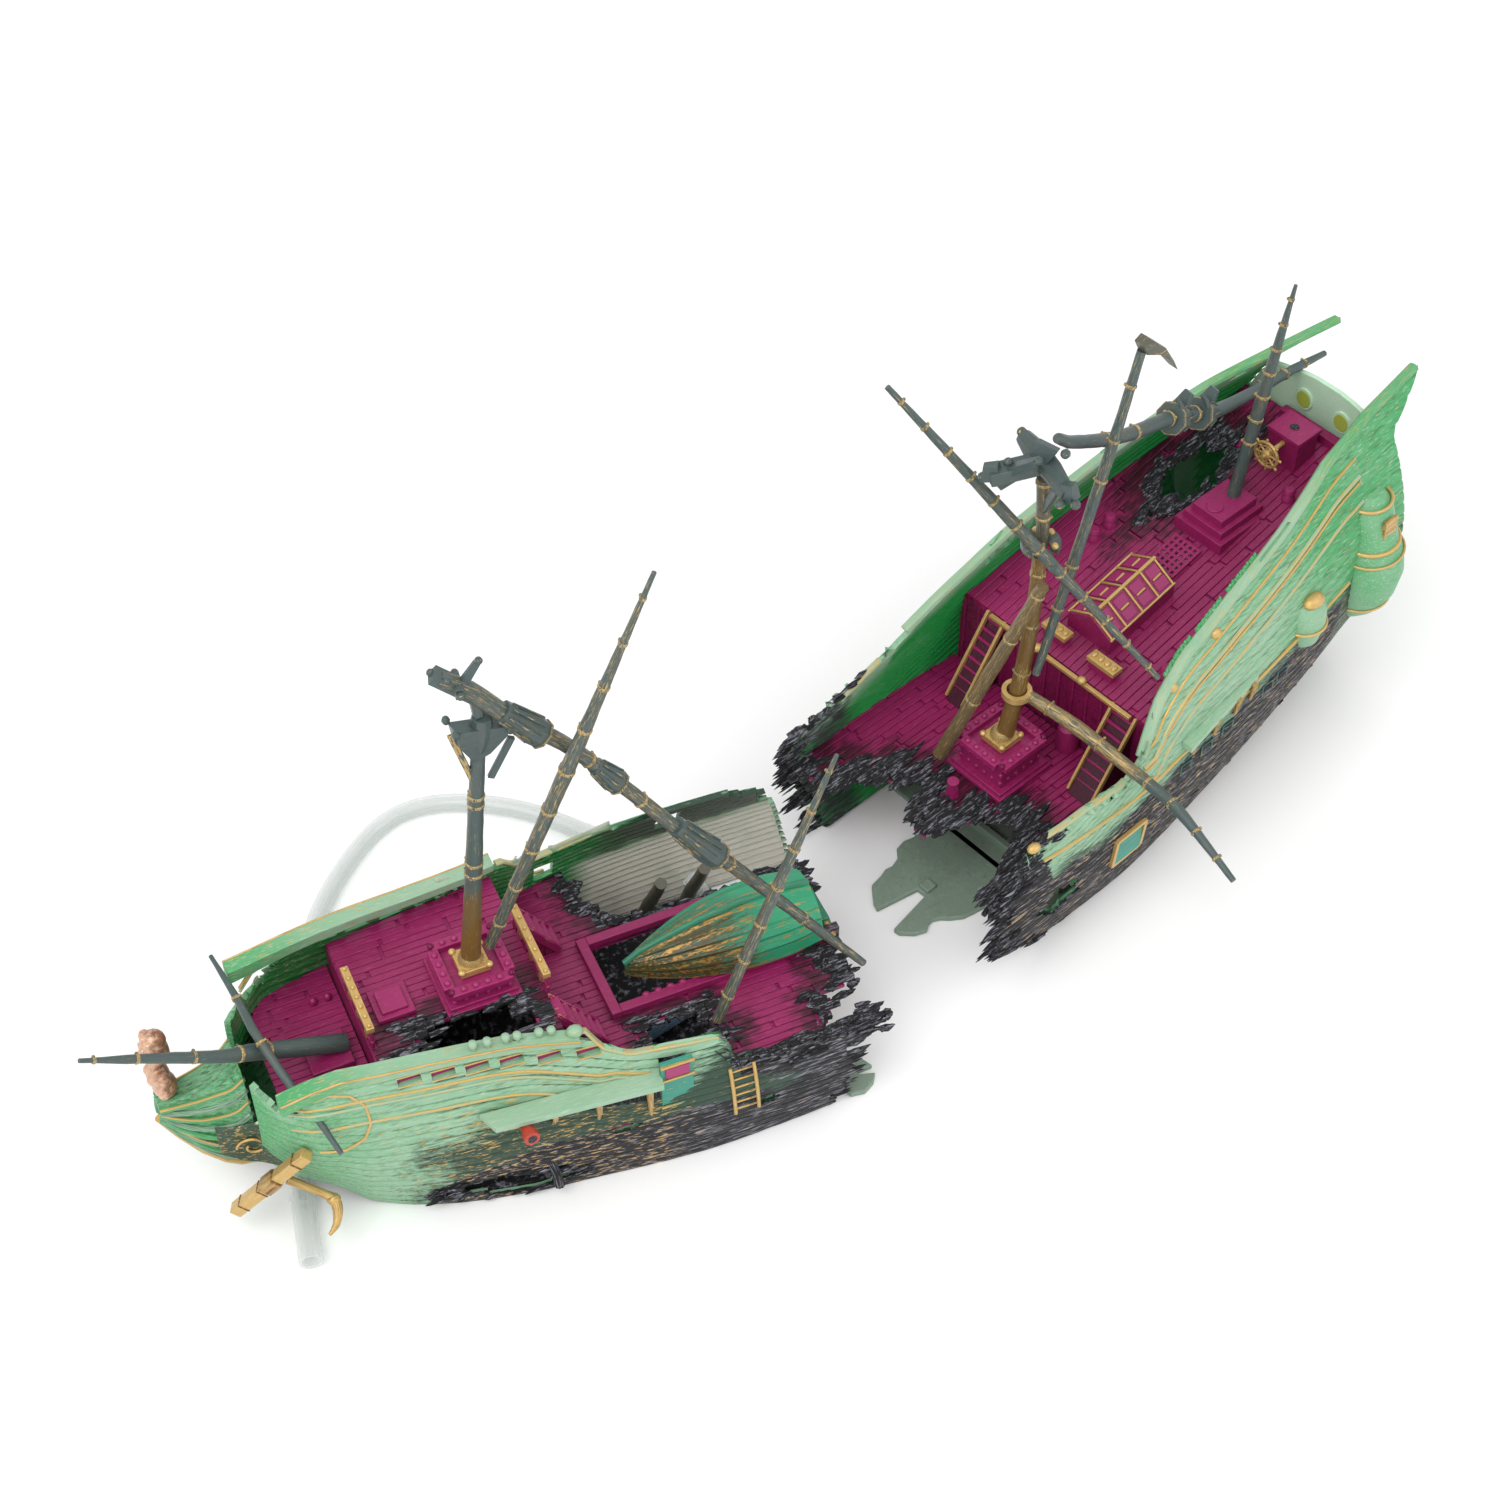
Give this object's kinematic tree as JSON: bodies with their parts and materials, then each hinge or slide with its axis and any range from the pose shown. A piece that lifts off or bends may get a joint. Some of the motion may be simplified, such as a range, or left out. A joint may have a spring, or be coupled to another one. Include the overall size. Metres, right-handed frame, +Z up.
{
  "type": "sunken ship aquarium ornament",
  "caption": "Broken sailing ship in two free-standing halves with fallen masts, an air line into the bow half and an upturned lifeboat that lifts as a lid over the hatch",
  "frame": {"origin": "on the floor under the foremast foot, on the underside of the bow section's base plate", "axes": "+Z up, the bow section points along -X with its port side towards -Y, and the stern section lies behind it along +X, turned 18.5 degrees to its port side"},
  "size_m": [0.3683, 0.1368, 0.1729],
  "materials": {
    "hull": "painted resin, satin, weathered",
    "deck": "painted resin, satin",
    "base": "painted resin, matt",
    "spar": "painted resin with dry-brushed gold",
    "gold": "gold-painted resin",
    "figure": "bronze-painted resin",
    "boat": "painted resin with dry-brushed gold planks",
    "transom": "pale translucent plastic",
    "clear": "clear flexible tube",
    "stone": "porous, rough",
    "pin": "plain wire"
  },
  "bodies": {
    "bow_section": {"bow_hull_port": "hull", "bow_hull_starboard": "hull", "bow_deck": "deck", "bow_base_plate": "base", "beakhead": "hull", "figurehead": "figure", "bowsprit": "spar", "spritsail_yard": "spar", "anchor": "gold", "anchor_stock": "gold", "hull_rib_fore": "spar", "hull_rib_aft": "spar", "air_inlet": "clear", "air_diffuser": "stone", "boat_hinge_pin": "pin", "air_tube": "clear", "tube_sleeve": "clear"},
    "fore_rig": {"foremast": "spar", "foremast_foot": "gold", "foremast_cap": "spar", "fore_topmast": "spar", "fore_top": "spar", "topmast_cap": "spar", "fore_yard": "spar", "fore_topsail_yard": "spar"},
    "lifeboat_lid": {"lifeboat": "boat"},
    "stern_section": {"stern_hull_port": "hull", "stern_hull_starboard": "hull", "transom": "transom", "stern_deck": "deck", "stern_base_plate": "base", "mizzenmast": "spar", "helm_axle": "gold"},
    "main_rig": {"mainmast": "spar", "mainmast_foot": "gold", "main_masthead": "spar", "main_top": "gold", "main_yard": "spar", "main_topsail_yard": "spar", "main_cap": "spar", "main_topmast": "spar", "topmast_top": "spar", "topmast_crosstree": "spar", "broken_spar": "spar", "gaff": "spar"},
    "wheel": {"helm_wheel": "gold"}
  },
  "joints": [
    {"name": "foremast_rock", "type": "hinge", "parent": "bow_section", "child": "fore_rig", "pos_m": [0, 0, 0.0506], "axis": [0, -1, 0], "range_deg": [0, 4]},
    {"name": "lifeboat_lift", "type": "hinge", "parent": "bow_section", "child": "lifeboat_lid", "pos_m": [0.0856, -0.0025, 0.031], "axis": [0, 1, 0], "range_deg": [0, 20]},
    {"name": "stern_section_slide", "type": "slide", "parent": "bow_section", "child": "stern_section", "axis": [0.9483, 0.3173, 0], "range_m": [0, 0.04]},
    {"name": "mainmast_rock", "type": "hinge", "parent": "stern_section", "child": "main_rig", "pos_m": [0.1479, 0.0226, 0.0376], "axis": [0.3173, -0.9483, 0], "range_deg": [0, 3]},
    {"name": "helm_wheel_spin", "type": "hinge", "parent": "stern_section", "child": "wheel", "pos_m": [0.23572, 0.05198, 0.0766], "axis": [-0.9483, -0.3173, 0], "continuous": true}
  ]
}
